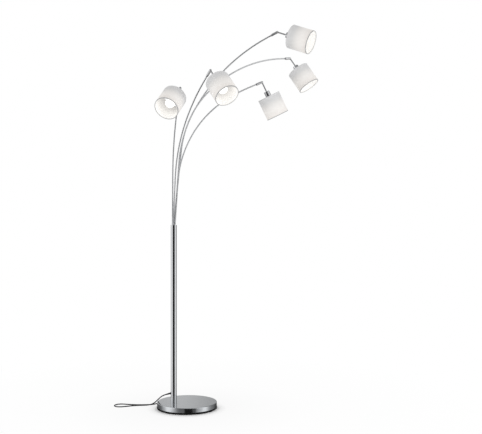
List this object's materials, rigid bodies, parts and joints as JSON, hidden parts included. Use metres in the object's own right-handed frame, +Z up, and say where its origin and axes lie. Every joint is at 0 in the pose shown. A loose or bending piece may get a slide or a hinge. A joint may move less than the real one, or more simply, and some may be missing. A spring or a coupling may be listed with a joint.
{
  "type": "tree floor lamp",
  "caption": "Free-standing floor lamp: round weighted base, off-centre pole and slender bent arms that fan out from its top, each with a swivelling, tilting fabric drum shade.",
  "frame": {"origin": "on the floor under the centre of the round base", "axes": "+Z up along the pole, -Y towards the side seen in the picture, +X towards the side to which most arms reach"},
  "size_m": [1.0726, 0.8024, 1.928],
  "materials": {
    "brushed_nickel": "brushed nickel plate, fine grain, strong soft reflections",
    "satin_nickel": "satin nickel plate",
    "cast_iron": "rough, dark primer",
    "zinc_steel": "bright zinc",
    "black_plastic": "fine matt texture",
    "black_rubber": "soft matt",
    "black_cord": "smooth PVC sheath, low sheen",
    "brass_pins": "bright",
    "white_holder": "moulded, slight sheen",
    "opal_bulb": "opal glass, lit",
    "white_textile": "fine plain weave on a stiff translucent lining",
    "white_wire": "white powder coat"
  },
  "bodies": {
    "stand": {"base_cover": "brushed_nickel", "base_weight": "cast_iron", "base_plate": "black_plastic", "base_bolt": "zinc_steel", "pole_tube": "brushed_nickel", "arm_plug": "brushed_nickel", "arm_a": "satin_nickel", "arm_b": "satin_nickel", "arm_c": "satin_nickel", "arm_d": "satin_nickel", "arm_e": "satin_nickel", "cord_gland": "black_rubber", "cord_lead": "black_cord", "cord_link": "black_cord", "cord_coil": "black_cord", "cord_tail": "black_cord", "switch_case": "black_plastic", "plug_body": "black_rubber", "plug_pins": "brass_pins"},
    "sleeve_a": {"knuckle_a": "satin_nickel", "hinge_pin_a": "zinc_steel"},
    "head_a": {"stem_a": "satin_nickel", "socket_cup_a": "brushed_nickel", "lampholder_a": "white_holder", "bulb_a": "opal_bulb", "shade_a": "white_textile", "shade_carrier_a": "white_wire"},
    "sleeve_b": {"knuckle_b": "satin_nickel", "hinge_pin_b": "zinc_steel"},
    "head_b": {"stem_b": "satin_nickel", "socket_cup_b": "brushed_nickel", "lampholder_b": "white_holder", "bulb_b": "opal_bulb", "shade_b": "white_textile", "shade_carrier_b": "white_wire"},
    "sleeve_c": {"knuckle_c": "satin_nickel", "hinge_pin_c": "zinc_steel"},
    "head_c": {"stem_c": "satin_nickel", "socket_cup_c": "brushed_nickel", "lampholder_c": "white_holder", "bulb_c": "opal_bulb", "shade_c": "white_textile", "shade_carrier_c": "white_wire"},
    "sleeve_d": {"knuckle_d": "satin_nickel", "hinge_pin_d": "zinc_steel"},
    "head_d": {"stem_d": "satin_nickel", "socket_cup_d": "brushed_nickel", "lampholder_d": "white_holder", "bulb_d": "opal_bulb", "shade_d": "white_textile", "shade_carrier_d": "white_wire"},
    "sleeve_e": {"knuckle_e": "satin_nickel", "hinge_pin_e": "zinc_steel"},
    "head_e": {"stem_e": "satin_nickel", "socket_cup_e": "brushed_nickel", "lampholder_e": "white_holder", "bulb_e": "opal_bulb", "shade_e": "white_textile", "shade_carrier_e": "white_wire"},
    "foot_button": {"switch_button": "black_plastic"}
  },
  "joints": [
    {"name": "swivel_a", "type": "hinge", "parent": "stand", "child": "sleeve_a", "pos_m": [0.45561, 0.02075, 1.89961], "axis": [0.8723, 0.0427, 0.4871], "range_deg": [-60.4, 119.6]},
    {"name": "tilt_a", "type": "hinge", "parent": "sleeve_a", "child": "head_a", "pos_m": [0.45561, 0.02075, 1.89961], "axis": [0.1978, 0.8802, -0.4314], "range_deg": [-55.4, 59.6]},
    {"name": "swivel_b", "type": "hinge", "parent": "stand", "child": "sleeve_b", "pos_m": [0.54321, 0.40672, 1.84101], "axis": [0.83, 0.5431, 0.1271], "range_deg": [-63.2, 116.8]},
    {"name": "tilt_b", "type": "hinge", "parent": "sleeve_b", "child": "head_b", "pos_m": [0.54321, 0.40672, 1.84101], "axis": [-0.4408, 0.7783, -0.4472], "range_deg": [-75.5, 39.5]},
    {"name": "swivel_c", "type": "hinge", "parent": "stand", "child": "sleeve_c", "pos_m": [0.38183, 0.15578, 1.66785], "axis": [0.8691, 0.2992, 0.3939], "range_deg": [-88.1, 91.9]},
    {"name": "tilt_c", "type": "hinge", "parent": "sleeve_c", "child": "head_c", "pos_m": [0.38183, 0.15578, 1.66785], "axis": [-0.313, 0.9493, -0.0305], "range_deg": [-86.4, 28.6]},
    {"name": "swivel_d", "type": "hinge", "parent": "stand", "child": "sleeve_d", "pos_m": [0.1249, -0.19544, 1.66784], "axis": [0.493, -0.4795, 0.726], "range_deg": [-84.8, 95.2]},
    {"name": "tilt_d", "type": "hinge", "parent": "sleeve_d", "child": "head_d", "pos_m": [0.1249, -0.19544, 1.66784], "axis": [0.7415, 0.6681, -0.0623], "range_deg": [-93, 22]},
    {"name": "swivel_e", "type": "hinge", "parent": "stand", "child": "sleeve_e", "pos_m": [-0.02534, -0.12183, 1.5949], "axis": [0.176, -0.4468, 0.8771], "range_deg": [-56.2, 31.8]},
    {"name": "tilt_e", "type": "hinge", "parent": "sleeve_e", "child": "head_e", "pos_m": [-0.02534, -0.12183, 1.5949], "axis": [0.952, -0.1494, -0.2671], "range_deg": [-106, 9]},
    {"name": "press_foot_button", "type": "slide", "parent": "stand", "child": "foot_button", "axis": [0, 0, -1], "range_m": [0, 0.003], "stiffness_N_per_m": 500, "springref_m": -0.004}
  ]
}
